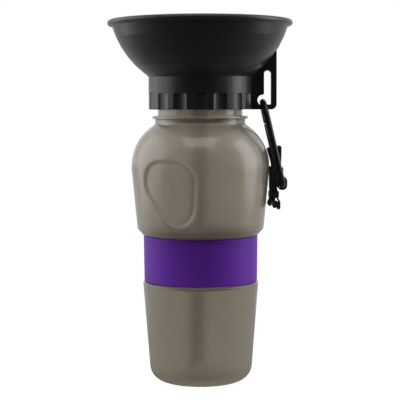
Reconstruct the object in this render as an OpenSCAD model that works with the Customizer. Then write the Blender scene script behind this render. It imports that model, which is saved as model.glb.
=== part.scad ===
// Squeeze water bottle for dogs: a soft bottle with a drinking bowl that screws
// onto its neck, a dip tube, a grip band, and a clip with a folded wrist strap.
// Millimetres. +Z is up, the base stands on z = 0 and the bottle's axis is Z.
// -Y is the front, and the hanger plate with its clip is on the +X side.

/* [Bottle] */
// Diameter of the lower barrel just under the grip band
barrel_d = 70.1; // [66:0.5:74]
// How far the barrel's wall draws in from there down to the floor
barrel_taper = 4.7; // [2:0.05:8]
// Radius of the rounded corner round the base
base_corner_r = 9.5; // [6:0.5:11]
// Width of the base outside the inner edge of the ring on which the bottle stands
heel_w = 11.3; // [10:0.1:15]
// Height of the push-up in the middle of the base
punt_h = 2.2; // [1:0.1:4]
// How far the upper body's lower edge stands out over the grip band
ledge_w = 3.65; // [2.4:0.05:6]
// Height of the upper body's bevelled lower edge
body_bevel_h = 3.6; // [2:0.2:6]
// How far the upper body widens up to the point where the shoulder's line would meet it
body_flare = 4.9; // [2:0.1:7]
// Height of the upper body from its bevel to that point
body_h = 52.45; // [48:0.05:56]
// Height of the shoulder from that point to the foot of the neck
shoulder_h = 10.4; // [9:0.1:12]
// Share of the shoulder's slope that is rounded
shoulder_round_share = 0.936; // [0.7:0.01:0.94]
// Wall thickness of the bottle
bottle_wall = 1.4; // [1:0.1:2]

/* [Thumb dimple] */
// Turn of the dimple from the front, towards -X
dimple_turn = 29; // [0:1:60]
// Height of the dimple's middle above the upper body's bevel
dimple_rise = 23.05; // [20:0.05:24]
// Depth of the dimple
dimple_depth = 1.3; // [0.5:0.1:2]
// Radius of the dimple's upper left corner, which the others go by
dimple_r = 12.5; // [10:0.1:13]

/* [Neck] */
// Outer diameter of the neck
neck_d = 51; // [49:0.2:51.6]
// How far the thick root of the neck stands out from the neck
neck_root_step = 1.7; // [1:0.1:2.4]
// Height of the root of the neck, up to its bead
neck_root_h = 3.2; // [3:0.1:6]
// Thickness of the bead
bead_t = 1.7; // [1:0.1:2.4]
// How far the bead stands out from the root of the neck
bead_reach = 1.5; // [0.8:0.1:2.8]
// Height of the neck from its bead to the mouth's rim
neck_h = 20.6; // [19:0.1:23]

/* [Screw thread] */
// Rise of the thread in one turn
thread_pitch = 5; // [4.6:0.1:6]
// Turns of each thread
thread_turns = 1.25; // [1:0.05:1.4]
// Height of the thread's ridge above its wall
thread_depth = 1.4; // [1:0.1:1.6]
// How far the collar's thread starts above the collar's lower edge
thread_inset = 0.25; // [0.2:0.05:1]
// Gap between a ridge and the facing wall
thread_gap = 0.4; // [0.3:0.05:0.6]

/* [Grip band] */
// Height of the band's lower edge
band_z = 61; // [56:0.2:62]
// Height of the band from edge to edge
band_h = 27.7; // [24:0.1:30]
// How far the band's lower edge lies inside the barrel's edge
band_sink = 0.85; // [0.2:0.05:1.5]
// How far the band widens from its lower edge to its upper edge
band_flare = 0.3; // [0:0.05:1.2]
// Thickness of the band
band_t = 1.85; // [1.2:0.05:2.2]
// Gap over and under the band in its groove
band_gap = 0.35; // [0.2:0.05:0.6]

/* [Bowl and collar] */
// Wall thickness of the screw collar outside its thread
collar_wall = 3.7; // [3.6:0.1:5]
// Gap between the neck's bead and the collar's lower edge
collar_gap = 3.9; // [3:0.1:5]
// Radius of the collar's rounded lower edge
collar_edge_r = 0.75; // [0.25:0.1:0.95]
// Height of the bowl's foot, where it meets the collar, above the bottle's mouth
bowl_foot_h = 3; // [2.6:0.1:4]
// Height from there to the point at which the bowl's lower and upper slopes would meet
bowl_slope_h = 13; // [11:0.5:15]
// Share of the bowl's spread that it has reached at that point
bowl_bend_share = 0.745; // [0.6:0.01:0.8]
// Outer diameter of the bowl's wall under its rim
bowl_top_d = 106.4; // [104:0.2:110]
// Height from that point to the centre of the rolled rim
bowl_side_h = 18.75; // [16:0.05:24]
// Radius of the bowl's curved side
bowl_side_r = 55.6; // [40:0.5:55.6]
// Thickness of the bowl's wall
bowl_wall = 2.2; // [1.6:0.1:2.4]
// Thickness of the bowl's floor
floor_t = 2.6; // [2:0.1:3]
// Thickness of the rolled rim
rim_t = 3.7; // [3:0.1:4.2]
// Diameter of the water hole in the bowl's floor
water_hole_d = 6.4; // [4:0.2:7]

/* [Collar flutes] */
// Places round the collar for a flute
flute_count = 16; // [12:1:18]
// Width of a flute
flute_w = 8.4; // [5:0.1:9]
// Height of the top of a flute above the collar's lower edge
flute_h = 9.7; // [7:0.1:12]
// Depth of a flute along its middle
flute_depth = 1.2; // [0.4:0.1:1.2]

/* [Hanger plate] */
// Thickness of the hanger plate
plate_t = 4; // [3:0.2:5]
// How far the plate's outer edge stands out over the bottle's widest place
plate_reach = 4.38; // [4.2:0.02:6]
// Width of the slot
slot_w = 4.15; // [4.1:0.05:4.6]
// Width of the bar outside the slot
slot_bar_w = 3.4; // [2.6:0.1:4]
// Height of the slot above the middle of the keyhole's round end
slot_h = 17.7; // [14:0.1:19]
// Diameter of the keyhole's round end
keyhole_d = 6.4; // [6.2:0.1:7]
// Height of the middle of the keyhole's round end above the collar's lower edge
keyhole_rise = 5.5; // [5.3:0.1:7]

/* [Gasket and dip tube] */
// Thickness of the gasket
gasket_t = 1.9; // [1.2:0.1:2.4]
// Width of the gasket's ring
gasket_w = 3.6; // [2:0.2:4]
// Outer diameter of the dip tube
tube_d = 9.4; // [8:0.2:10]
// Wall thickness of the dip tube
tube_wall = 1.1; // [0.8:0.1:1.5]
// Height of the tube's lower end over the floor
tube_foot_h = 6.5; // [5:0.1:20]
// Lean of the dip tube towards -X
tube_lean = 0.8; // [0:0.1:1]
// Angle of the cut at the tube's lower end
tube_cut = 35; // [0:1:45]
// Length of the spigot that holds the tube
spigot_l = 10; // [6:0.5:14]
// Wall thickness of the spigot
spigot_wall = 1.9; // [1.4:0.1:2.5]

/* [Clip] */
// Diameter of the clip's rod
rod_d = 3.7; // [3.2:0.1:3.8]
// Length of the clip between the middles of its end bars
clip_l = 51.3; // [50:0.1:54]
// Width of the clip between the middles of its side bars
clip_w = 21; // [20:0.5:24]
// Radius of the clip's lower corners
clip_corner_r = 6; // [5:0.5:7]
// Angle at which the clip stands off from the vertical
clip_tilt = 13.1; // [12.5:0.1:14]
// Distance from the lower end bar to the gate's pivot
gate_pivot_h = 13; // [12:0.5:15]
// Distance from the upper end bar to the gate's free end
gate_top_drop = 13.4; // [12.6:0.2:16]
// Thickness of the frame's two tongues
tongue_t = 1.6; // [1.2:0.1:1.8]
// Diameter of the gate's pivot pin
pivot_d = 1.5; // [1.2:0.1:1.6]
// Diameter of the pin across the gate's free end
nose_d = 1.2; // [1:0.1:1.3]
// Offset of the lower tongue's rounded cam from the pivot
cam_offset = 0.6; // [0.3:0.05:0.7]

/* [Gate spring] */
// Outer diameter of the spring
spring_d = 2; // [1.6:0.1:2]
// Diameter of the spring's wire
spring_wire_d = 0.3; // [0.25:0.05:0.35]
// Turns of the spring
spring_turns = 9; // [6:1:12]
// Length of the spring
spring_l = 8; // [6:0.5:10]

/* [Wrist strap] */
// Width of the webbing
webbing_w = 10; // [8:0.5:10]
// Thickness of the webbing
webbing_t = 1; // [0.7:0.05:1.1]
// Height of the keeper that holds the folds
keeper_h = 3.5; // [3:0.1:3.6]
// Wall thickness of the keeper
keeper_wall = 0.6; // [0.4:0.05:0.65]
// Diameter of the sewing thread
sewing_d = 0.4; // [0.3:0.05:0.5]

/* [Hidden] */
$fn = 96;
overlap = 0.2;      // how far pieces of one solid run into each other
reach = 200;        // longer than anything that is cut
run_gap = 0.3;      // free space between a moving piece and its seat
step_deg = 7.5;     // turn between the points of a rounded corner

base_d = barrel_d - 2 * barrel_taper;           // where the barrel's wall would meet the floor
stand_ring_d = base_d - 2 * heel_w;
band_low_d = barrel_d - 2 * band_sink;
band_top_d = band_low_d + 2 * band_flare;
band_top_z = band_z + band_h;
groove_low_r = band_low_d / 2 - band_t;
groove_top_r = band_top_d / 2 - band_t;
groove_top_z = band_top_z + band_gap;
body_low_d = band_top_d + 2 * ledge_w;
body_low_z = groove_top_z + body_bevel_h;
shoulder_d = body_low_d + 2 * body_flare;
shoulder_z = body_low_z + body_h;
dimple_z = body_low_z + dimple_rise;
neck_foot_z = shoulder_z + shoulder_h;
neck_root_d = neck_d + 2 * neck_root_step;
bead_z = neck_foot_z + neck_root_h;
bead_d = neck_root_d + 2 * bead_reach;
bead_top_z = bead_z + bead_t;
mouth_z = bead_top_z + neck_h;
neck_inside_step = 0.6;                         // extra thickness of the neck's wall
neck_inside_rise = 3;                           // from the neck's foot to its straight inside
ring_inner_r = 3;                               // radii of the bottle's small corners
ring_edge_r = 0.8;
barrel_edge_r = 1.1;
groove_corner_r = 0.3;
ledge_corner_r = 0.5;
ledge_lip = 0.3;
bevel_corner_r = 2.5;
neck_foot_r = 2;
mouth_edge_r = 0.6;

collar_bore_r = neck_d / 2 + thread_depth + thread_gap;
collar_d = 2 * (collar_bore_r + collar_wall);
collar_z = bead_top_z + collar_gap;
thread_root = thread_pitch * 0.46;              // height of a thread's ridge at its root
thread_crest = thread_pitch * 0.22;             // and along its crest
thread_z = collar_z + thread_inset + thread_root / 2 + thread_pitch / 2;
bowl_foot_z = mouth_z + bowl_foot_h;
bowl_bend_d = collar_d + (bowl_top_d - collar_d) * bowl_bend_share;
bowl_bend_z = bowl_foot_z + bowl_slope_h;
rim_z = bowl_bend_z + bowl_side_h;
ceiling_z = mouth_z + gasket_t;                 // underside of the bowl's floor
floor_z = ceiling_z + floor_t;                  // top of the bowl's floor
tube_l = ceiling_z - tube_foot_h;
keyhole_z = collar_z + keyhole_rise;
slot_top_z = keyhole_z + slot_h;
rod_r = rod_d / 2;
hang_z = keyhole_z - keyhole_d / 2 + rod_r + run_gap;
side_y = clip_w / 2;                            // middle of the clip's side bars
pivot_z = gate_pivot_h - clip_l;                // in the clip's own frame
gate_top_z = -gate_top_drop;
fork_gap = 0.2;                                 // free space beside a tongue

// ---------------------------------------------------------------- outlines

function unit(v) = v / norm(v);
function xy(p) = [p[0], p[1]];
function left_of(v) = [-v[1], v[0]];
function turn_between(a, b) = atan2(a[0] * b[1] - a[1] * b[0], a * b);

// Points of one corner [x, y, radius], rounded between its two neighbours.
function corner(before, at, after) =
    let (a = unit(xy(at) - xy(before)), b = unit(xy(after) - xy(at)), turn = turn_between(a, b))
    at[2] <= 0 || abs(turn) < 0.5 ? [xy(at)] :
    let (side = sign(turn),
         centre = xy(at) - a * at[2] * tan(abs(turn) / 2) + left_of(a) * side * at[2],
         start = -left_of(a) * side * at[2],
         steps = max(2, ceil(abs(turn) / (at[2] < 1 ? 3 * step_deg : step_deg))))
    [for (i = [0:steps]) let (t = turn * i / steps)
        centre + [start[0] * cos(t) - start[1] * sin(t), start[0] * sin(t) + start[1] * cos(t)]];

// An open line of corners [x, y, radius], with each corner rounded.
function rounded(line) =
    [for (i = [0:len(line) - 1])
        each i == 0 || i == len(line) - 1 ? [xy(line[i])] : corner(line[i - 1], line[i], line[i + 1])];

// The same line moved to its left by d, with its radii kept in step.
function inset(line, d) =
    [for (i = [0:len(line) - 1])
        let (first = i == 0, last = i == len(line) - 1,
             before = first ? unit(xy(line[1]) - xy(line[0])) : unit(xy(line[i]) - xy(line[i - 1])),
             after = last ? before : unit(xy(line[i + 1]) - xy(line[i])),
             turn = turn_between(before, after),
             normal = unit(left_of(before) + left_of(after)),
             moved = xy(line[i]) + normal * d / cos(turn / 2))
        [moved[0], moved[1], line[i][2] <= 0 ? 0 : max(0.2, line[i][2] - sign(turn) * d)]];

// ---------------------------------------------------------------- bottle

// The shoulder's radius, from the share of its slope that is rounded.
shoulder_slope = [neck_root_d - shoulder_d, 2 * shoulder_h] / 2;
shoulder_turn = turn_between([body_flare, body_h], shoulder_slope);
shoulder_r = shoulder_round_share * norm(shoulder_slope) / tan(shoulder_turn / 2);

// The bottle's outside, from the middle of its base up to its mouth.
bottle_line = [
    [0, punt_h, 0],
    [stand_ring_d / 2 - punt_h * 1.6, punt_h, ring_inner_r],
    [stand_ring_d / 2, 0, ring_edge_r],
    [base_d / 2, 0, base_corner_r],
    [barrel_d / 2, band_z - band_gap, barrel_edge_r],
    [groove_low_r, band_z - band_gap, groove_corner_r],
    [groove_top_r, groove_top_z, groove_corner_r],
    [band_top_d / 2 + ledge_lip, groove_top_z, ledge_corner_r],
    [body_low_d / 2, body_low_z, bevel_corner_r],
    [shoulder_d / 2, shoulder_z, shoulder_r],
    [neck_root_d / 2, neck_foot_z, neck_foot_r],
    [neck_root_d / 2, bead_top_z, 0],
    [neck_d / 2, bead_top_z, 0],
    [neck_d / 2, mouth_z, mouth_edge_r]];

// The same wall's inside. The neck is straight within.
cavity_line = concat(
    [for (i = [0:10]) inset(bottle_line, bottle_wall)[i]],
    [[neck_d / 2 - bottle_wall - neck_inside_step, neck_foot_z + neck_inside_rise, neck_foot_r],
     [neck_d / 2 - bottle_wall - neck_inside_step, mouth_z + 1, 0]]);

// The hanger plate and the clip keep their distance from the bottle's widest place.
widest_r = max([for (p = rounded(bottle_line)) p[0]]);
plate_x = widest_r + plate_reach;
slot_x = plate_x - slot_bar_w - slot_w / 2;     // middle of the slot
keyhole_x = slot_x - (keyhole_d - slot_w) * 1.25;
hang_x = keyhole_x;                             // middle of the clip's upper bar
end_x = hang_x + clip_l * sin(clip_tilt);       // middle of the clip's lower end bar
end_z = hang_z - clip_l * cos(clip_tilt);

// A solid of revolution under an open line that starts on the axis.
module turned(line) {
    points = rounded(line);
    rotate_extrude()
        polygon(concat(points, [[0, points[len(points) - 1][1]]]));
}

// The dimple's outline, seen from outside, as three circles [x, z, radius] drawn round.
dimple_circles = [[-0.384, 0.528, 1], [0.344, 0.464, 1.056], [0.416, -0.696, 0.864]] * dimple_r;

module dimple_prism(grow) {
    rotate([0, 0, -dimple_turn])
        translate([0, 0, dimple_z])
            rotate([90, 0, 0])
                linear_extrude(height = shoulder_d)
                    hull()
                        for (c = dimple_circles)
                            translate([c[0], c[1]])
                                circle(r = c[2] + grow, $fn = 32);
}

// What the dimple takes off the wall whose line is given.
module dimple_layer(line, grow) {
    difference() {
        dimple_prism(grow);
        turned(inset(line, dimple_depth));
    }
}

module bottle() {
    color([0.45, 0.42, 0.38, 0.6]) {
        difference() {
            union() {
                turned(bottle_line);
                translate([0, 0, bead_z])
                    cylinder(d = bead_d, h = bead_t);
            }
            difference() {
                turned(cavity_line);
                dimple_layer(cavity_line, bottle_wall);
            }
            dimple_layer(bottle_line, 0);
        }
        thread_ridge(neck_d / 2, 1, thread_z);
    }
}

// A screw ridge on a wall of radius r. It stands outwards where out is 1 and inwards where it is -1.
module thread_ridge(r, out, z) {
    steps = round(thread_turns * 40);
    sink = r - out * overlap;
    function ring(i) =
        let (a = 360 * thread_turns * i / steps,
             fade = min(1, min(i, steps - i) / 4 + 0.15),
             top = r + out * thread_depth * fade,
             h = z + thread_pitch * thread_turns * i / steps)
        [for (p = [[sink, -thread_root / 2], [top, -thread_crest / 2],
                    [top, thread_crest / 2], [sink, thread_root / 2]])
            [p[0] * cos(a), p[0] * sin(a), h + p[1]]];
    points = [for (i = [0:steps]) each ring(i)];
    skin = [for (i = [0:steps - 1]) for (k = [0:3])
        let (a = 4 * i + k, b = 4 * i + (k + 1) % 4)
        each [[a, b, b + 4], [a, b + 4, a + 4]]];
    last = 4 * steps;
    ends = [[0, 2, 1], [0, 3, 2], [last, last + 1, last + 2], [last, last + 2, last + 3]];
    faces = concat(skin, ends);
    polyhedron(points = points,
               faces = out > 0 ? faces : [for (f = faces) [f[2], f[1], f[0]]]);
}

module grip_band() {
    line = [[groove_low_r + 0.05, band_z, 0.3],
            [band_low_d / 2, band_z, 0.6],
            [band_top_d / 2, band_top_z, 0.6],
            [groove_top_r + 0.05, band_top_z, 0.3]];
    color([0.27, 0.13, 0.45])
        rotate_extrude()
            polygon(rounded(line));
}

// ---------------------------------------------------------------- bowl

bowl_line = [
    [collar_d / 2, bowl_foot_z, 0],
    [bowl_bend_d / 2, bowl_bend_z, bowl_side_r],
    [bowl_top_d / 2, rim_z, 0]];
bowl_inside = inset(bowl_line, bowl_wall);
rim_x = bowl_top_d / 2 + 0.35;

// Where the line from a to b is at height z.
function at_height(a, b, z) = a[0] + (b[0] - a[0]) * (z - a[1]) / (b[1] - a[1]);

// The collar and the bowl are one turned shape outside.
module bowl_outside() {
    turned([[0, collar_z, 0], [collar_d / 2, collar_z, collar_edge_r], [collar_d / 2, bowl_foot_z, 1.5],
            bowl_line[1], bowl_line[2]]);
}

module bowl_hollow() {
    line = [[0, floor_z, 0],
            [at_height(bowl_inside[0], bowl_inside[1], floor_z), floor_z, 3],
            bowl_inside[1],
            [bowl_inside[2][0], bowl_inside[2][1] + 0.5, 0],
            [bowl_inside[2][0] + 1, rim_z + rim_t, 0]];
    turned(line);
}

// The flutes are hollow grooves, and they leave out the place that the hanger plate takes.
flute_sag = flute_depth - pow(flute_w / 2, 2) / collar_d;
flute_r = (pow(flute_w / 2, 2) + pow(flute_sag, 2)) / 2 / flute_sag;
flute_top_r = 1.5;

module flutes() {
    turn = 360 / flute_count;
    for (i = [0:flute_count - 1]) {
        at = -90 + i * turn;
        off_plate = abs((at + 540) % 360 - 180);
        if (off_plate > turn / 2)
            rotate([0, 0, at])
                intersection() {
                    translate([collar_d / 2 - flute_depth - 1, 0, 0])
                        rotate([90, 0, 90])
                            linear_extrude(height = flute_depth + 3) {
                                translate([-flute_w / 2, collar_z - 1])
                                    square([flute_w, flute_h + 1 - flute_top_r]);
                                translate([flute_top_r - flute_w / 2, collar_z])
                                    square([flute_w - 2 * flute_top_r, flute_h]);
                                for (y = [-1, 1] * (flute_w / 2 - flute_top_r))
                                    translate([y, collar_z + flute_h - flute_top_r])
                                        circle(r = flute_top_r);
                            }
                    translate([collar_d / 2 - flute_depth + flute_r, 0, collar_z - 2])
                        cylinder(r = flute_r, h = flute_h + 4);
                }
    }
}

// The plate's outline in the XZ plane. It runs up into the bowl, whose hollow then cuts it off.
module plate_outline() {
    top_z = rim_z - 2;
    difference() {
        polygon(concat(
            rounded([[collar_bore_r + 1.2, collar_z - 0.1, 0],
                     [plate_x, collar_z - 0.1, 3.2],
                     [plate_x, top_z, 0]]),
            [[collar_bore_r + 1.2, top_z]]));
        translate([slot_x, slot_top_z - slot_w / 2])
            circle(d = slot_w);
        translate([slot_x - slot_w / 2, keyhole_z - keyhole_d / 2 + 0.6])
            square([slot_w, slot_top_z - slot_w / 2 - keyhole_z + keyhole_d / 2 - 0.6]);
        translate([keyhole_x, keyhole_z])
            circle(d = keyhole_d);
        polygon([[keyhole_x, keyhole_z + keyhole_d / 2], [slot_x, keyhole_z + keyhole_d * 0.8],
                 [slot_x, keyhole_z]]);
    }
}

module hanger_plate() {
    translate([0, plate_t / 2, 0])
        rotate([90, 0, 0])
            linear_extrude(height = plate_t)
                plate_outline();
}

// The place of the tube: its seat is at the underside of the bowl's floor.
module along_tube() {
    translate([0, 0, ceiling_z])
        rotate([0, tube_lean, 0])
            children();
}

module bowl() {
    seat = 0.3;                                 // how far the tube's bore runs into the floor
    color([0.1, 0.1, 0.11]) {
        difference() {
            union() {
                difference() {
                    union() {
                        bowl_outside();
                        rotate_extrude()
                            translate([rim_x, rim_z])
                                circle(d = rim_t);
                        hanger_plate();
                    }
                    bowl_hollow();
                    flutes();
                    translate([0, 0, collar_z - 1])
                        cylinder(r = collar_bore_r, h = ceiling_z - collar_z + 1);
                }
                along_tube()
                    translate([0, 0, -spigot_l])
                        cylinder(d = tube_d + 2 * spigot_wall, h = spigot_l + 2 * seat);
            }
            along_tube()
                translate([0, 0, -spigot_l - 1])
                    cylinder(d = tube_d - 0.1, h = spigot_l + 1 + seat);
            translate([0, 0, ceiling_z])
                cylinder(d = water_hole_d, h = floor_t + 1);
        }
        thread_ridge(collar_bore_r, -1, thread_z - thread_pitch / 2);
    }
}

module cap_gasket() {
    outer_r = collar_bore_r - 0.3;
    color([0.75, 0.75, 0.73])
        translate([0, 0, mouth_z])
            difference() {
                cylinder(r = outer_r, h = gasket_t);
                translate([0, 0, -1])
                    cylinder(r = outer_r - gasket_w, h = gasket_t + 2);
            }
}

module dip_tube() {
    color([0.62, 0.6, 0.56])
        along_tube()
            difference() {
                translate([0, 0, -tube_l])
                    cylinder(d = tube_d, h = tube_l);
                translate([0, 0, -tube_l - 1])
                    cylinder(d = tube_d - 2 * tube_wall, h = tube_l + 2);
                translate([-tube_d / 2, 0, -tube_l])
                    rotate([0, -tube_cut, 0])
                        translate([-tube_d, -tube_d, -2 * tube_d])
                            cube([4 * tube_d, 2 * tube_d, 2 * tube_d]);
            }
}

// ---------------------------------------------------------------- clip

// The clip's own frame: its upper bar's middle is the origin, it hangs down along -Z,
// its ring lies in the YZ plane and its gate is on the +Y side.
module on_clip() {
    translate([hang_x, 0, hang_z])
        rotate([0, -clip_tilt, 0])
            children();
}

// A rod along Z from z0 to z1, at y.
module rod_between(y, z0, z1) {
    translate([0, y, z0])
        cylinder(r = rod_r, h = z1 - z0);
}

// A bend in the YZ plane of radius r round (y, z), from angle a0 through sweep, counted from +Y.
module rod_bend(y, z, r, a0, sweep) {
    translate([0, y, z])
        rotate([90, 0, 90])
            rotate([0, 0, a0])
                rotate_extrude(angle = sweep)
                    translate([r, 0])
                        circle(r = rod_r);
}

// A flat tongue in the middle of the rod, as wide as the rod.
module tongue(y, z0, z1) {
    translate([-tongue_t / 2, y - rod_r, z0])
        cube([tongue_t, rod_d, z1 - z0]);
}

cam_r = rod_r - 0.45;                           // radius of the lower tongue's rounded end
nose_end_z = gate_top_z - 4.2;
nose_pin_z = gate_top_z - 2.4;

module carabiner_frame() {
    inner_r = side_y - clip_corner_r;
    low_z = -clip_l + clip_corner_r;
    shank_z = pivot_z - rod_r - 0.35;           // where the round rod ends under the gate
    color([0.12, 0.12, 0.13])
        on_clip() {
            rod_bend(0, -side_y, side_y, 0, 180);
            rod_between(-side_y, low_z, -side_y);
            rod_bend(-inner_r, low_z, clip_corner_r, 180, 90);
            translate([0, inner_r, -clip_l])
                rotate([90, 0, 0])
                    cylinder(r = rod_r, h = 2 * inner_r);
            rod_bend(inner_r, low_z, clip_corner_r, 270, 90);
            rod_between(side_y, low_z, shank_z);
            rod_between(side_y, gate_top_z + 0.35, -side_y);
            difference() {
                union() {
                    tongue(side_y, shank_z - overlap, pivot_z - 0.3);
                    translate([-tongue_t / 2, side_y - cam_offset / 2, pivot_z])
                        rotate([0, 90, 0])
                            cylinder(r = cam_r, h = tongue_t);
                }
                translate([0, side_y, pivot_z])
                    rotate([0, 90, 0])
                        cylinder(d = pivot_d, h = 2 * rod_d, center = true);
            }
            difference() {
                tongue(side_y, nose_end_z, gate_top_z + 0.35 + overlap);
                translate([-rod_d, side_y - rod_d, nose_pin_z - nose_d / 2 - 0.25])
                    cube([2 * rod_d, rod_d + nose_d / 2 + 0.15, nose_d + 0.5]);
            }
        }
}

module carabiner_gate() {
    slot = tongue_t + 2 * fork_gap;
    spring_seat_z = pivot_z + rod_r + 0.5;
    color([0.12, 0.12, 0.13])
        on_clip()
            difference() {
                union() {
                    rod_between(side_y, pivot_z, gate_top_z);
                    intersection() {
                        rod_between(side_y, pivot_z - rod_d, pivot_z + overlap);
                        translate([0, side_y, pivot_z])
                            rotate([0, 90, 0])
                                cylinder(r = rod_r, h = 2 * rod_d, center = true);
                    }
                }
                translate([-slot / 2, side_y - rod_d, pivot_z - rod_d])
                    cube([slot, 2 * rod_d, rod_d + rod_r + 0.5]);
                translate([-slot / 2, side_y - rod_d, nose_end_z - 0.4])
                    cube([slot, 2 * rod_d, rod_d * 2]);
                translate([0, side_y, spring_seat_z - overlap])
                    cylinder(d = spring_d + 0.2, h = spring_l + 2.2 + overlap);
                for (z = [pivot_z, nose_pin_z])
                    translate([0, side_y, z])
                        rotate([0, 90, 0])
                            cylinder(d = z == pivot_z ? pivot_d + 0.08 : nose_d,
                                     h = 2 * rod_d, center = true);
            }
}

// A pin across the rod at height z of the clip's side.
module cross_pin(d, l, z) {
    on_clip()
        translate([0, side_y, z])
            rotate([0, 90, 0])
                cylinder(d = d, h = l, center = true);
}

module gate_pin() {
    color([0.6, 0.6, 0.62])
        cross_pin(pivot_d, rod_d - 0.1, pivot_z);
}

module nose_pin() {
    color([0.6, 0.6, 0.62])
        cross_pin(nose_d, rod_d - 0.2, nose_pin_z);
}

cam_gap = 0.15;                                 // what the plunger keeps from the cam's high side
plunger_z = pivot_z + cam_r + cam_gap;          // where the plunger's end stands
plunger_head_h = 1.1;

module gate_plunger() {
    head_r = spring_d / 2 - 0.05;
    color([0.6, 0.6, 0.62])
        on_clip()
            translate([0, side_y, plunger_z]) {
                intersection() {
                    translate([0, 0, head_r * 1.2])
                        sphere(r = head_r * 1.2);
                    cylinder(r = head_r * 0.8, h = plunger_head_h);
                }
                translate([0, 0, plunger_head_h - 0.3])
                    cylinder(r = head_r * 0.8, h = 0.6);
                cylinder(r = spring_d / 2 - spring_wire_d - 0.1, h = plunger_head_h + 2);
            }
}

// The spring's wire is one tube that follows a helix inside the gate.
module gate_spring() {
    steps = spring_turns * 12;
    sides = 6;
    coil_r = (spring_d - spring_wire_d) / 2;
    function ring(i) =
        let (a = i * 30)
        [for (k = [0:sides - 1])
            let (b = 360 * k / sides, r = coil_r + spring_wire_d / 2 * cos(b))
            [r * cos(a), r * sin(a),
             (spring_l - spring_wire_d) * i / steps + spring_wire_d / 2 * (1 + sin(b))]];
    points = [for (i = [0:steps]) each ring(i)];
    skin = [for (i = [0:steps - 1]) for (k = [0:sides - 1])
        let (a = sides * i + k, b = sides * i + (k + 1) % sides)
        each [[b + sides, b, a], [a + sides, b + sides, a]]];
    ends = [for (k = [1:sides - 2])
        each [[0, k, k + 1], [sides * steps + k + 1, sides * steps + k, sides * steps]]];
    color([0.6, 0.6, 0.62])
        on_clip()
            translate([0, side_y, plunger_z + plunger_head_h + 0.35])
                polyhedron(points = points, faces = [for (f = concat(skin, ends)) [f[2], f[1], f[0]]]);
}

// ---------------------------------------------------------------- wrist strap

// The strap is drawn from the clip's lower end bar, so that it follows the clip.
eye_r = rod_r + 0.15 + webbing_t / 2;
keeper_top_z = -3.9;
keeper_x = -5;
bundle_w = 3.6 + webbing_t;                     // width of the folds inside the keeper

// Corners [x, z, radius] of the webbing's middle line, from the sewn tail round the bar, up to
// the first fold, down to the right loops, up, down to the left loop and up to the free end.
strap_line = [
    [0, 10.4, 0], [0, 5.8, 1.5], [eye_r, 3.2, 2], [eye_r, -eye_r, eye_r - 0.1],
    [-eye_r, -eye_r, eye_r - 0.1], [-eye_r, 2.6, 2], [-1.3, 5.4, 2], [-1.3, 11.7, 6],
    [-1, 17.7, 8], [-1, 23.15, 0.58], [-2.3, 23.15, 0.58], [-2.3, 18.2, 8],
    [-3, 13, 8], [-3.7, 9, 8], [-3.7, -1.4, 6], [-3.2, -4.2, 4], [-3.2, -7.4, 1.2],
    [-1.6, -10.1, 1.5], [-1.6, -14.2, 0.53], [-2.8, -14.2, 0.53], [-2.8, -10.4, 0.53],
    [-4, -10.4, 0.53], [-4, -13.4, 0.53], [-5.2, -13.4, 0.53], [-5.2, -10.4, 3],
    [-4.4, -7.4, 3], [-4.4, -4.2, 4], [-4.85, -1.4, 6], [-4.85, 13, 10], [-6, 17.5, 8],
    [-7.35, 22.3, 0.58], [-8.6, 21.9, 0.58], [-7.35, 17.6, 8], [-6, 13, 10], [-6, -1.4, 6],
    [-5.6, -4.2, 4], [-5.6, -7.4, 1.5], [-6.9, -10.6, 1.5], [-6.9, -12.1, 0.53],
    [-8.1, -12.1, 0.53], [-8.1, -10.6, 1.5], [-6.8, -7.4, 1.5], [-6.8, -4.2, 4],
    [-7.15, -1.4, 6], [-7.15, 11, 0]];

// The outline of a ribbon of thickness t along an open line of points.
function ribbon(points, t) =
    let (n = len(points) - 1,
         along = [for (i = [0:n - 1]) unit(points[i + 1] - points[i])],
         sides = [for (i = [0:n])
             let (a = along[max(i - 1, 0)], b = along[min(i, n - 1)])
             unit(left_of(a) + left_of(b)) * t / 2 / cos(turn_between(a, b) / 2)])
    concat([for (i = [0:n]) points[i] + sides[i]],
           [for (i = [n:-1:0]) points[i] - sides[i]]);

// The sewn tack joins the two legs over the bar, and two rows hold the left loop together.
leg_gap = 1.3;
tack_z = 6.6;
tack_pitch = 0.8;
hem_x = -6.9;
hem_gap = 1.2;
hem_z = -11.45;
hem_pitch = 0.8;

module on_strap() {
    translate([end_x, 0, end_z])
        children();
}

// An outline in the XZ plane, made w wide along Y.
module across(w) {
    translate([0, w / 2, 0])
        rotate([90, 0, 0])
            linear_extrude(height = w)
                children();
}

module strap_webbing() {
    color([0.11, 0.1, 0.1])
        on_strap()
            across(webbing_w)
                polygon(ribbon(rounded(strap_line), webbing_t));
}

// One stitch: a ring of thread through both layers, as deep as they are, round (x, z).
module stitch(x, z, layers) {
    depth = layers + 0.06;
    translate([x, 0, z])
        difference() {
            cube([depth + sewing_d, webbing_w - 2, sewing_d], center = true);
            cube([depth, webbing_w - 2 - 2 * sewing_d, 2 * sewing_d], center = true);
        }
}

module strap_stitching() {
    color([0.16, 0.15, 0.15])
        on_strap() {
            for (i = [0:4])
                stitch(-leg_gap / 2, tack_z + i * tack_pitch, leg_gap + webbing_t);
            for (i = [0:1])
                stitch(hem_x - hem_gap / 2, hem_z + i * hem_pitch, hem_gap + webbing_t);
        }
}

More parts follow.
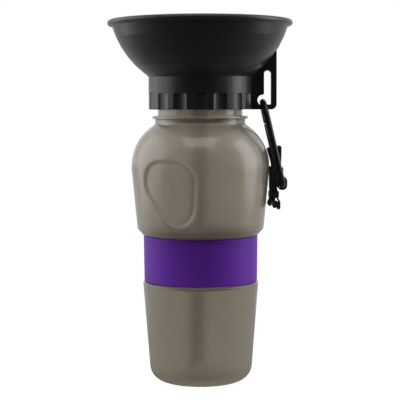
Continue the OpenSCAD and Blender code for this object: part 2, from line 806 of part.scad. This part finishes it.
module strap_keeper() {
    play = 0.1;
    w = bundle_w + 2 * play + 2 * keeper_wall;
    l = webbing_w + 2 * play + 2 * keeper_wall;
    color([0.09, 0.09, 0.09])
        on_strap()
            translate([keeper_x, 0, keeper_top_z - keeper_h])
                difference() {
                    linear_extrude(height = keeper_h)
                        hull()
                            for (x = [-1, 1], y = [-1, 1])
                                translate([x * (w / 2 - keeper_wall), y * (l / 2 - keeper_wall)])
                                    circle(r = keeper_wall, $fn = 32);
                    translate([-w / 2 + keeper_wall, -l / 2 + keeper_wall, -1])
                        cube([w - 2 * keeper_wall, l - 2 * keeper_wall, keeper_h + 2]);
                }
}

bottle();
grip_band();
bowl();
cap_gasket();
dip_tube();
carabiner_frame();
carabiner_gate();
gate_pin();
nose_pin();
gate_spring();
gate_plunger();
strap_webbing();
strap_stitching();
strap_keeper();
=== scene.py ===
# A dog's travel water bottle: a smoky squeeze bottle with a purple grip band, a black
# drinking bowl screwed onto its neck, and a gate clip with a folded wrist strap.
import math

import bmesh
import bpy
import numpy as np
from mathutils import Matrix, Vector


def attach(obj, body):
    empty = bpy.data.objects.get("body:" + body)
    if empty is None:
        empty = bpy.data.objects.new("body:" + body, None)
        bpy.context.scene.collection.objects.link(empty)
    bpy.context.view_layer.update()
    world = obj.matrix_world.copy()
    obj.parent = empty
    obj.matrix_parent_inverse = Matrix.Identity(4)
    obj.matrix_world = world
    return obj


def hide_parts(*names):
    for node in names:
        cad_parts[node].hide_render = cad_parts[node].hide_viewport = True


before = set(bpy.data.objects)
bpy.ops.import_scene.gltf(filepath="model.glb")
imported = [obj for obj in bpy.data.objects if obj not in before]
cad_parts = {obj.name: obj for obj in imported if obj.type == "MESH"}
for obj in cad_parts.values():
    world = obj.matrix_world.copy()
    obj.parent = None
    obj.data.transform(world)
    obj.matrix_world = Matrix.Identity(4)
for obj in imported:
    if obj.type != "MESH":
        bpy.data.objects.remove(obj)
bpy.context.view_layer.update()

# --- The camera ---------------------------------------------------------------
# The photograph was taken from well back, level with the neck of the bottle and tipped
# down by nearly four and a half degrees, with the axis leaning by a fifth of a degree.
tipped_down = math.radians(4.404)
leaning = math.radians(-0.187)
camera = bpy.data.objects.new("camera", bpy.data.cameras.new("camera"))
bpy.context.scene.collection.objects.link(camera)
bpy.context.scene.camera = camera
camera.data.sensor_width = 36
camera.data.lens = 109.12
camera.location = (-0.0003, -0.732, 0.166)
camera.rotation_euler = (
    Matrix.Rotation(math.pi / 2 - tipped_down, 4, "X") @ Matrix.Rotation(leaning, 4, "Z")
).to_euler()

# --- The studio ---------------------------------------------------------------
# White paper runs under and behind the bottle, lit brighter towards the back. Two soft
# boxes stand left and right of it and a third hangs over the camera, whose side is dim.
bpy.context.scene.view_settings.view_transform = "Standard"


def arithmetic(tree, operation, *values):
    """One step of arithmetic in a node tree, on sockets or plain numbers."""
    step = tree.nodes.new("ShaderNodeMath")
    step.operation = operation
    for socket, value in zip(step.inputs, values):
        if isinstance(value, bpy.types.NodeSocket):
            tree.links.new(value, socket)
        else:
            socket.default_value = value
    return step.outputs[0]


def lit_from_behind(tree, place, front, back, dim, bright, white):
    """Light that grows from dim at the front to bright at the back of the room, along Y.

    The camera sees the white level instead, both straight and through the bottle.
    """
    where = tree.nodes.new("ShaderNodeTexCoord")
    ways = tree.nodes.new("ShaderNodeSeparateXYZ")
    tree.links.new(where.outputs[place], ways.inputs[0])
    growing = tree.nodes.new("ShaderNodeMapRange")
    growing.interpolation_type = "SMOOTHSTEP"
    growing.inputs["From Min"].default_value = front
    growing.inputs["From Max"].default_value = back
    growing.inputs["To Min"].default_value = dim
    growing.inputs["To Max"].default_value = bright
    tree.links.new(ways.outputs["Y"], growing.inputs["Value"])
    ray = tree.nodes.new("ShaderNodeLightPath")
    seen = arithmetic(
        tree, "MAXIMUM", ray.outputs["Is Camera Ray"], ray.outputs["Is Transmission Ray"]
    )
    level = tree.nodes.new("ShaderNodeMix")
    tree.links.new(seen, level.inputs["Factor"])
    tree.links.new(growing.outputs["Result"], level.inputs["A"])
    level.inputs["B"].default_value = white
    return level.outputs["Result"]


world = bpy.data.worlds.new("studio")
bpy.context.scene.world = world
world.use_nodes = True
room = world.node_tree
room.nodes.clear()
light = room.nodes.new("ShaderNodeBackground")
light.inputs["Color"].default_value = (1, 1, 1, 1)
room.links.new(
    lit_from_behind(room, "Generated", front=-0.9, back=0.05, dim=0.02, bright=0.8, white=1.0),
    light.inputs["Strength"],
)
room.links.new(light.outputs[0], room.nodes.new("ShaderNodeOutputWorld").inputs["Surface"])

paper_reach = 4.0
paper_under_foot = 0.0002
paper_corners = [
    (x * paper_reach, y * paper_reach, 0) for x, y in ((-1, -1), (1, -1), (1, 1), (-1, 1))
]
paper_mesh = bpy.data.meshes.new("paper")
paper_mesh.from_pydata(paper_corners, [], [(0, 1, 2, 3)])
paper = bpy.data.objects.new("paper", paper_mesh)
bpy.context.scene.collection.objects.link(paper)
paper.location.z = -paper_under_foot
white_paper = bpy.data.materials.new("white_paper")
white_paper.use_nodes = True
sheet = white_paper.node_tree
sheet.nodes.clear()
dull = sheet.nodes.new("ShaderNodeBsdfDiffuse")
dull.inputs["Color"].default_value = (0.1, 0.1, 0.1, 1)
glow = sheet.nodes.new("ShaderNodeEmission")
sheet.links.new(
    lit_from_behind(sheet, "Object", front=-0.2, back=0.5, dim=0.0, bright=0.5, white=0.95),
    glow.inputs["Strength"],
)
both = sheet.nodes.new("ShaderNodeAddShader")
sheet.links.new(dull.outputs[0], both.inputs[0])
sheet.links.new(glow.outputs[0], both.inputs[1])
sheet.links.new(both.outputs[0], sheet.nodes.new("ShaderNodeOutputMaterial").inputs["Surface"])
paper.data.materials.append(white_paper)

lamps_face = Vector((0, 0, 0.12))
for name, place, across, tall, power in (
    ("soft_box_left", (-0.5, 0.05, 0.27), 0.62, 0.6, 1.25),
    ("soft_box_right", (0.5, 0.0, 0.27), 0.28, 0.6, 1.1),
    ("soft_box_top", (0.0, -0.5, 1.2), 0.9, 0.7, 3.0),
):
    box = bpy.data.lights.new(name, "AREA")
    box.shape = "RECTANGLE"
    box.size, box.size_y = across, tall
    box.energy = power
    stand = bpy.data.objects.new(name, box)
    bpy.context.scene.collection.objects.link(stand)
    stand.location = place
    stand.rotation_euler = (lamps_face - Vector(place)).to_track_quat("-Z", "Y").to_euler()

# --- The bottle ---------------------------------------------------------------
# A blow-moulded bottle of soft smoky polyethylene, thin enough to see the dip tube
# through. It has a round shoulder, a groove for the band, a dished base and one thumb dimple.
MM = 0.001
wall = 1.4
neck_radius, root_radius, bead_radius = 25.5, 27.2, 28.7
bore_radius = 23.5
mouth_height = 181
bottle_corners = [  # radius, height, rounding, from the base's middle up to the mouth
    (0, 2.2, 0), (15.53, 2.2, 3), (19.05, 0, 0.8), (30.35, 0, 9.5), (35.05, 60.65, 1.1),
    (32.35, 60.65, 0.3), (32.65, 89.05, 0.3), (34.8, 89.05, 0.5), (38.15, 92.65, 2.5),
    (43.05, 145.1, 29.49), (root_radius, 155.5, 2), (root_radius, 158.7, 0.4),
    (bead_radius, 158.7, 0.5), (bead_radius, 160.4, 0.5), (neck_radius, 160.4, 0.4),
    (neck_radius, mouth_height, 0.6),
]
corners_up_to_root = 11  # those whose inside follows the outside at the wall's thickness
bore_corners = [(bore_radius, 158.5, 2), (bore_radius, mouth_height, 0.5)]


def rounded_corner(before, at, after, step=6.0):
    """The points of one rounded corner, no more than step degrees apart."""
    coming = (Vector(at[:2]) - Vector(before[:2])).normalized()
    going = (Vector(after[:2]) - Vector(at[:2])).normalized()
    turn = math.atan2(coming.x * going.y - coming.y * going.x, coming.dot(going))
    if at[2] <= 0 or abs(turn) < 0.01:
        return [tuple(at[:2])]
    side = 1 if turn > 0 else -1
    inwards = Vector((-coming.y, coming.x)) * side * at[2]
    middle = Vector(at[:2]) - coming * at[2] * math.tan(abs(turn) / 2) + inwards
    count = max(3, math.ceil(math.degrees(abs(turn)) / step))
    return [
        tuple(middle + Matrix.Rotation(turn * i / count, 2) @ -inwards) for i in range(count + 1)
    ]


def rounded_line(corners, longest, finer=(0, 0)):
    """A line through rounded corners, in steps up to longest, or half that in finer heights."""
    points = [tuple(corners[0][:2])]
    for before, at, after in zip(corners, corners[1:], corners[2:]):
        points += rounded_corner(before, at, after)
    points.append(tuple(corners[-1][:2]))
    line = [points[0]]
    for p in points[1:]:
        q = line[-1]
        close = finer[0] < (p[1] + q[1]) / 2 < finer[1]
        parts = max(1, math.ceil(math.dist(p, q) / (longest / 2 if close else longest)))
        for k in range(1, parts + 1):
            line.append((q[0] + (p[0] - q[0]) * k / parts, q[1] + (p[1] - q[1]) * k / parts))
    return line


def with_neighbours(points):
    """Each point of a path with the one before and the one after. An end is its own neighbour."""
    return zip(points[:1] + points[:-1], points, points[1:] + points[-1:])


def left_and_turn(before, at, after):
    """The direction to the left of a path at one of its points, and its turn there."""
    coming = (Vector(at[:2]) - Vector(before[:2])).normalized()
    going = (Vector(after[:2]) - Vector(at[:2])).normalized()
    left = Vector((-coming.y - going.y, coming.x + going.x)).normalized()
    return left, math.atan2(coming.x * going.y - coming.y * going.x, coming.dot(going))


def wall_inside(corners):
    """The same corners, moved in by the wall's thickness."""
    moved = []
    for before, at, after in with_neighbours(corners):
        left, turn = left_and_turn(before, at, after)
        p = Vector(at[:2]) + left * wall / math.cos(turn / 2)
        side = 1 if turn > 0 else -1
        moved.append((p.x, p.y, 0 if at[2] <= 0 else max(0.3, at[2] - side * wall)))
    return moved


# The dimple's outline is the tight line round three circles, seen square on.
dimple_facing = math.radians(-119)
dimple_middle = 115.7
dimple_circles = ((-4.8, 6.6, 12.5), (4.3, 5.8, 13.2), (5.2, -8.7, 10.8))
dimple_press = 1.45
slope_outside, slope_width = 0.9, 2.6
dimple_zone = (96, 138)
dimple_points = [
    (x + r * math.cos(math.tau * k / 48), z + r * math.sin(math.tau * k / 48))
    for x, z, r in dimple_circles
    for k in range(48)
]
dimple_ring = []
for points in (sorted(dimple_points), sorted(dimple_points, reverse=True)):
    edge = []
    for p in points:
        while len(edge) > 1 and (edge[-1][0] - edge[-2][0]) * (p[1] - edge[-2][1]) <= (
            edge[-1][1] - edge[-2][1]
        ) * (p[0] - edge[-2][0]):
            edge.pop()
        edge.append(p)
    dimple_ring += edge[:-1]
dimple_ring = np.array(dimple_ring)


def dimple_depth(angle, radius, height):
    """How far the wall at that place is pressed in, in millimetres."""
    across = radius * np.sin(angle - dimple_facing)
    run = np.roll(dimple_ring, -1, axis=0) - dimple_ring
    length = np.hypot(run[:, 0], run[:, 1])
    inside = (
        run[:, 0, None] * (height - dimple_ring[:, 1, None] - dimple_middle)
        - run[:, 1, None] * (across - dimple_ring[:, 0, None])
    ) / length[:, None]
    t = np.clip((inside.min(axis=0) + slope_outside) / slope_width, 0, 1)
    return dimple_press * t * t * (3 - 2 * t) * (np.cos(angle - dimple_facing) > 0)


def join_rings(shape, rings):
    """Adds the faces between each ring of corners and the next. An end ring may be one point."""
    for low, high in zip(rings, rings[1:]):
        count = max(len(low), len(high))
        for k in range(count):
            n = (k + 1) % count
            if len(low) == 1:
                shape.faces.new((low[0], high[n], high[k]))
            elif len(high) == 1:
                shape.faces.new((low[k], low[n], high[0]))
            else:
                shape.faces.new((low[k], low[n], high[n], high[k]))


def finished_piece(name, shape, smooth=True):
    """Turns a shape into a piece of that name. Its end caps are left flat."""
    bmesh.ops.recalc_face_normals(shape, faces=shape.faces)
    mesh = bpy.data.meshes.new(name)
    shape.to_mesh(mesh)
    shape.free()
    rounded = [smooth and len(face.vertices) <= 4 for face in mesh.polygons]
    mesh.polygons.foreach_set("use_smooth", rounded)
    piece = bpy.data.objects.new(name, mesh)
    bpy.context.scene.collection.objects.link(piece)
    return piece


def turned_shell(name, outside, inside, around=400):
    """A closed turned wall: its outside line upwards, then its inside line back down."""
    angles = np.arange(around) * math.tau / around
    shell = bmesh.new()
    rings = []
    for r, z in outside + inside[::-1]:
        if r < 1e-6:
            rings.append([shell.verts.new((0, 0, z * MM))])
            continue
        radii = np.full(around, r) - dimple_depth(angles, r, np.full(around, z))
        rings.append(
            [
                shell.verts.new((q * math.cos(a) * MM, q * math.sin(a) * MM, z * MM))
                for a, q in zip(angles, radii)
            ]
        )
    join_rings(shell, rings)
    return finished_piece(name, shell)


cavity_corners = wall_inside(bottle_corners)[:corners_up_to_root] + bore_corners
bottle_shell = turned_shell(
    "bottle_shell",
    rounded_line(bottle_corners, 1.5, dimple_zone),
    rounded_line(cavity_corners, 1.5, dimple_zone),
)

# The screw thread stands on the neck: one ridge that fades in and out at its ends.
thread_start, thread_pitch, thread_turns = 168.2, 5, 1.25
steps_a_turn = 60
thread_steps = round(thread_turns * steps_a_turn)
fade_steps = 7
crest, bevel, sunk = 1.4, 1.3, -0.2  # how far each part of the ridge stands out of the neck
ridge = bmesh.new()
ridge_rings = []
for i in range(thread_steps + 1):
    a = math.tau * i / steps_a_turn
    full = min(1, min(i, thread_steps - i) / fade_steps + 0.1)
    middle = thread_start + thread_pitch * i / steps_a_turn
    profile = (
        (sunk, -1.15), (bevel * full, -0.65), (crest * full, -0.4),
        (crest * full, 0.4), (bevel * full, 0.65), (sunk, 1.15),
    )
    ring = []
    for out, up in profile:
        r = neck_radius + out
        ring.append(
            ridge.verts.new((r * math.cos(a) * MM, r * math.sin(a) * MM, (middle + up) * MM))
        )
    ridge_rings.append(ring)
join_rings(ridge, ridge_rings)
ridge.faces.new(ridge_rings[0])
ridge.faces.new(ridge_rings[-1])
neck_thread = finished_piece("neck_thread", ridge, smooth=False)


def new_finish(name):
    """A new material, with its node tree and the surface in it."""
    finish = bpy.data.materials.new(name)
    finish.use_nodes = True
    return finish, finish.node_tree, finish.node_tree.nodes["Principled BSDF"]


def uneven(tree, where, scale, detail):
    """Soft clouds that make a colour or a gloss uneven."""
    clouds = tree.nodes.new("ShaderNodeTexNoise")
    clouds.inputs["Scale"].default_value = scale
    clouds.inputs["Detail"].default_value = detail
    tree.links.new(where.outputs["Object"], clouds.inputs["Vector"])
    return clouds.outputs["Fac"]


def tinted(tree, surface, factor, dark_at, dark, light_at, light):
    """Colours the surface from dark to light as the factor rises from one place to the other."""
    tint = tree.nodes.new("ShaderNodeValToRGB")
    ends = tint.color_ramp.elements
    ends[0].position, ends[0].color = dark_at, (*dark, 1)
    ends[1].position, ends[1].color = light_at, (*light, 1)
    tree.links.new(factor, tint.inputs["Fac"])
    tree.links.new(tint.outputs["Color"], surface.inputs["Base Color"])


def embossed(tree, surface, height, strength, depth):
    """Raises the surface by that height, over a depth in metres."""
    bump = tree.nodes.new("ShaderNodeBump")
    bump.inputs["Strength"].default_value = strength
    bump.inputs["Distance"].default_value = depth
    tree.links.new(height, bump.inputs["Height"])
    tree.links.new(bump.outputs["Normal"], surface.inputs["Normal"])


def grained(tree, surface, where, scale, strength, depth):
    """The fine grain that a mould leaves on a skin."""
    grain = tree.nodes.new("ShaderNodeTexNoise")
    grain.inputs["Scale"].default_value = scale
    tree.links.new(where.outputs["Object"], grain.inputs["Vector"])
    embossed(tree, surface, grain.outputs["Fac"], strength, depth)


smoky, smoky_tree, skin = new_finish("smoky_polyethylene")
skin.inputs["Roughness"].default_value = 0.28
skin.inputs["Coat Weight"].default_value = 0.5
skin.inputs["Coat Roughness"].default_value = 0.12
skin.inputs["IOR"].default_value = 1.4
skin.inputs["Transmission Weight"].default_value = 0.78
skin_place = smoky_tree.nodes.new("ShaderNodeTexCoord")
smoke = uneven(smoky_tree, skin_place, 28, 3)
tinted(smoky_tree, skin, smoke, 0.3, (0.53, 0.485, 0.415), 0.75, (0.57, 0.525, 0.455))
grained(smoky_tree, skin, skin_place, 900, 0.1, 0.00002)
for piece in (bottle_shell, neck_thread):
    piece.data.materials.append(smoky)
    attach(piece, "bottle")
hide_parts("bottle")

# --- The grip band ------------------------------------------------------------
# A ring of purple silicone rubber, stretched over the bottle into its groove. Its skin is
# satin, with the very fine grain of its mould.


def moulded(
    name, colour, roughness, grain, depth, mottle=0.12, metallic=0.0, specular=0.5, clear=0.0
):
    """A moulded or drawn skin, slightly uneven in colour and gloss.

    The grain's size and depth are in metres, and clear is the share of light let through.
    """
    finish, tree, surface = new_finish(name)
    surface.inputs["Metallic"].default_value = metallic
    surface.inputs["Specular IOR Level"].default_value = specular
    surface.inputs["Transmission Weight"].default_value = clear
    where = tree.nodes.new("ShaderNodeTexCoord")
    clouds = uneven(tree, where, 35, 4)
    darker, lighter = [tuple(c * (1 + way * mottle) for c in colour) for way in (-1, 1)]
    tinted(tree, surface, clouds, 0.3, darker, 0.7, lighter)
    gloss = tree.nodes.new("ShaderNodeMapRange")
    gloss.inputs["To Min"].default_value = roughness * 0.85
    gloss.inputs["To Max"].default_value = roughness * 1.15
    tree.links.new(clouds, gloss.inputs["Value"])
    tree.links.new(gloss.outputs["Result"], surface.inputs["Roughness"])
    grained(tree, surface, where, 1 / grain, 0.3, depth)
    return finish


def dress(node, finish):
    """Gives a part that comes from the CAD model its finish."""
    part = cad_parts[node]
    part.data.materials.clear()
    part.data.materials.append(finish)


dress(
    "grip_band",
    moulded("purple_silicone", (0.18, 0.038, 0.5), 0.45, 0.0006, 0.00006, 0.05, specular=0.15),
)

# --- The bowl -----------------------------------------------------------------
# One injection moulding of black polypropylene: the drinking bowl with its rolled rim, the
# fluted screw collar under it and the flat hanger plate at the side. Its skin is glossy.
dress("bowl", moulded("black_polypropylene", (0.024, 0.024, 0.025), 0.32, 0.0009, 0.00002, 0.1))

# --- The gasket and the dip tube ----------------------------------------------
# A soft ring under the bowl's floor seals the mouth. The tube is a natural-coloured
# polyethylene pipe, pushed into the spigot and cut at a slant at its lower end.
dress("cap_gasket", moulded("soft_seal", (0.55, 0.55, 0.53), 0.55, 0.0005, 0.00004))
dress(
    "dip_tube",
    moulded("tube_polyethylene", (0.88, 0.85, 0.8), 0.3, 0.0007, 0.00003, 0.04, clear=0.6),
)

# --- The clip -----------------------------------------------------------------
# A bent aluminium rod, anodised black and satin, with a sprung gate on the far side. The
# pins that hold the gate are bare steel, and so are its spring and plunger.
black_rod = moulded(
    "black_anodised_rod", (0.016, 0.016, 0.019), 0.3, 0.0005, 0.00002, 0.15, metallic=0.35
)
for part in ("carabiner_frame", "carabiner_gate"):
    dress(part, black_rod)
bare_steel = moulded(
    "bare_steel", (0.52, 0.52, 0.54), 0.28, 0.0004, 0.00002, 0.06, metallic=1.0
)
for part in ("gate_pin", "nose_pin", "gate_spring", "gate_plunger"):
    dress(part, bare_steel)

# --- The wrist strap ----------------------------------------------------------
# Black woven polyester webbing, 10 mm wide and 1 mm thick. One end is sewn round the clip's
# lower bar, and the rest is folded up and down beside the bottle, with six folds.
bar_x, bar_z = 49.2362, 118.785
strap_corners = [  # place across and above the bar, rounding
    (0, 10.4, 0), (0, 5.8, 1.5), (2.5, 3.2, 2), (2.5, -2.5, 2.4), (-2.5, -2.5, 2.4),
    (-2.5, 2.6, 2), (-1.3, 5.4, 2), (-1.3, 11.7, 6), (-1, 17.7, 8), (-1, 23.15, 0.58),
    (-2.3, 23.15, 0.58), (-2.3, 18.2, 8), (-3, 13, 8), (-3.7, 9, 8), (-3.7, -1.4, 6),
    (-3.2, -4.2, 4), (-3.2, -7.4, 1.2), (-1.6, -10.1, 1.5), (-1.6, -14.2, 0.53),
    (-2.8, -14.2, 0.53), (-2.8, -10.4, 0.53), (-4, -10.4, 0.53), (-4, -13.4, 0.53),
    (-5.2, -13.4, 0.53), (-5.2, -10.4, 3), (-4.4, -7.4, 3), (-4.4, -4.2, 4),
    (-4.85, -1.4, 6), (-4.85, 13, 10), (-6, 17.5, 8), (-7.35, 22.3, 0.58),
    (-8.6, 21.9, 0.58), (-7.35, 17.6, 8), (-6, 13, 10), (-6, -1.4, 6), (-5.6, -4.2, 4),
    (-5.6, -7.4, 1.5), (-6.9, -10.6, 1.5), (-6.9, -12.1, 0.53), (-8.1, -12.1, 0.53),
    (-8.1, -10.6, 1.5), (-6.8, -7.4, 1.5), (-6.8, -4.2, 4), (-7.15, -1.4, 6),
    (-7.15, 11, 0),
]
half_width, half_thick, flat_half = 5, 0.5, 4.4
selvedge = [(5, 0), (4.93, 0.3), (4.7, 0.46)]  # place across the width, place in the thickness
one_side = [(-y, d) for y, d in selvedge]
one_side += [(flat_half * (k / 8 - 1), half_thick) for k in range(17)]
one_side += selvedge[:0:-1]
webbing_section = one_side + [(-y, -d) for y, d in one_side]
strap_run = rounded_line(strap_corners, 0.7)
webbing = bmesh.new()
weave_map = webbing.loops.layers.uv.new("weave")
rings, weave_places, along = [], [], 0
for before, at, after in with_neighbours(strap_run):
    left, turn = left_and_turn(before, at, after)
    along += math.dist(before, at)
    spread = min(1.15, 1 / max(0.5, math.cos(turn / 2)))  # keeps its thickness in a fold
    ring = []
    for y, d in webbing_section:
        x, z = bar_x + at[0] + left.x * d * spread, bar_z + at[1] + left.y * d * spread
        ring.append(webbing.verts.new((x * MM, y * MM, z * MM)))
        weave_places.append((along * MM, y * MM))
    rings.append(ring)
join_rings(webbing, rings)
webbing.verts.index_update()
for face in webbing.faces:
    for loop in face.loops:
        loop[weave_map].uv = weave_places[loop.vert.index]
webbing.faces.new(rings[0])
webbing.faces.new(rings[-1])
folded_webbing = finished_piece("folded_webbing", webbing)

woven, woven_tree, cloth = new_finish("woven_polyester")
cloth.inputs["Roughness"].default_value = 0.85
cloth.inputs["Sheen Weight"].default_value = 0.25
cloth.inputs["Sheen Roughness"].default_value = 0.4
uv = woven_tree.nodes.new("ShaderNodeUVMap")
uv.uv_map = "weave"
ways = woven_tree.nodes.new("ShaderNodeSeparateXYZ")
woven_tree.links.new(uv.outputs["UV"], ways.inputs[0])
crossing = [
    arithmetic(
        woven_tree, "SINE", arithmetic(woven_tree, "MULTIPLY", ways.outputs[way], math.tau / size)
    )
    for way, size in (("X", 0.0009), ("Y", 0.0011))
]
threads = woven_tree.nodes.new("ShaderNodeMapRange")
threads.inputs["From Min"].default_value = -1
woven_tree.links.new(arithmetic(woven_tree, "MULTIPLY", *crossing), threads.inputs["Value"])
thread_height = threads.outputs["Result"]
# The weave's colour follows the height of its threads: painted shade in the dips between the
# threads, lighter on their crowns.
tinted(woven_tree, cloth, thread_height, 0, (0.009, 0.008, 0.008), 1, (0.03, 0.026, 0.027))
embossed(woven_tree, cloth, thread_height, 0.7, 0.00015)
folded_webbing.data.materials.append(woven)
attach(folded_webbing, "strap")
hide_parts("strap_webbing")

# --- The strap's stitching ----------------------------------------------------
# A zigzag bar tack of thick black thread holds the two layers over the clip's bar, and a
# lower one holds the left loop. Each has a row at both ends and shows on both faces.
sewing_thread = moulded("sewing_thread", (0.03, 0.027, 0.027), 0.6, 0.0003, 0.0001)
zigzag_half, row_half = 3.8, 3.9
thread_radius = 0.2


def sewn(seam, face, route):
    """Lays thread over a face of the webbing, through places across its width and its height."""
    row = seam.splines.new("POLY")
    row.points.add(len(route) - 1)
    for point, (y, z) in zip(row.points, route):
        point.co = ((bar_x + face) * MM, y * MM, (bar_z + z) * MM, 1)


for name, faces, low, high, pitch in (
    ("bar_tack", (0.5, -1.8), 6.4, 9.9, 0.8),
    ("loop_stitches", (-8.6, -6.4), -11.5, -10.6, 0.9),
):
    seam = bpy.data.curves.new(name, "CURVE")
    seam.dimensions = "3D"
    seam.bevel_depth = thread_radius * MM
    seam.bevel_resolution = 2
    seam.use_fill_caps = True
    count = round(2 * zigzag_half / pitch)
    zigzag = [
        (zigzag_half * (2 * k / count - 1), low if k % 2 else high) for k in range(count + 1)
    ]
    for face in faces:
        sewn(seam, face, zigzag)
        for height in (low, high):
            sewn(seam, face, [(-row_half, height), (row_half, height)])
    stitches = bpy.data.objects.new(name, seam)
    bpy.context.scene.collection.objects.link(stitches)
    stitches.data.materials.append(sewing_thread)
    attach(stitches, "strap")
    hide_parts("strap_stitching")

# --- The strap's keeper -------------------------------------------------------
# A loop of black elastic, 3.5 mm high, pushed over the folds to hold them together. Its long
# rubber cores show as fine ribs round it.
keeper_x, keeper_foot = bar_x - 5, bar_z - 7.4
half_across, half_along, keeper_rounding = 2.7, 5.4, 0.6  # of the middle line of its wall
keeper_corners = [(half_across, 0, 0)]
keeper_corners += [
    (x * half_across, y * half_along, keeper_rounding)
    for x, y in ((1, 1), (-1, 1), (-1, -1), (1, -1))
]
keeper_corners.append(keeper_corners[0])
keeper_line = rounded_line(keeper_corners, 0.6)[:-1]
rib = 0.06
keeper_section = [  # place out from the middle of the wall, height above the foot
    (-0.3, 0.2), (-0.3, 3.3), (-0.24, 3.45), (-0.12, 3.5), (0.12, 3.5), (0.24, 3.45),
]
keeper_section += [(0.3 - rib * (k % 2), 3.3 - 3.1 * k / 14) for k in range(15)]
keeper_section += [(0.24, 0.05), (0.12, 0), (-0.12, 0), (-0.24, 0.05)]
keeper = bmesh.new()
rings = []
for i, at in enumerate(keeper_line):
    left, turn = left_and_turn(keeper_line[i - 1], at, keeper_line[(i + 1) % len(keeper_line)])
    ring = []
    for out, up in keeper_section:
        x, y = keeper_x + at[0] - left.x * out, at[1] - left.y * out
        ring.append(keeper.verts.new((x * MM, y * MM, (keeper_foot + up) * MM)))
    rings.append(ring)
join_rings(keeper, rings + rings[:1])
keeper_loop = finished_piece("keeper_loop", keeper)
keeper_loop.data.materials.append(
    moulded("black_elastic", (0.014, 0.013, 0.013), 0.6, 0.0005, 0.00005)
)
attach(keeper_loop, "strap")
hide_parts("strap_keeper")
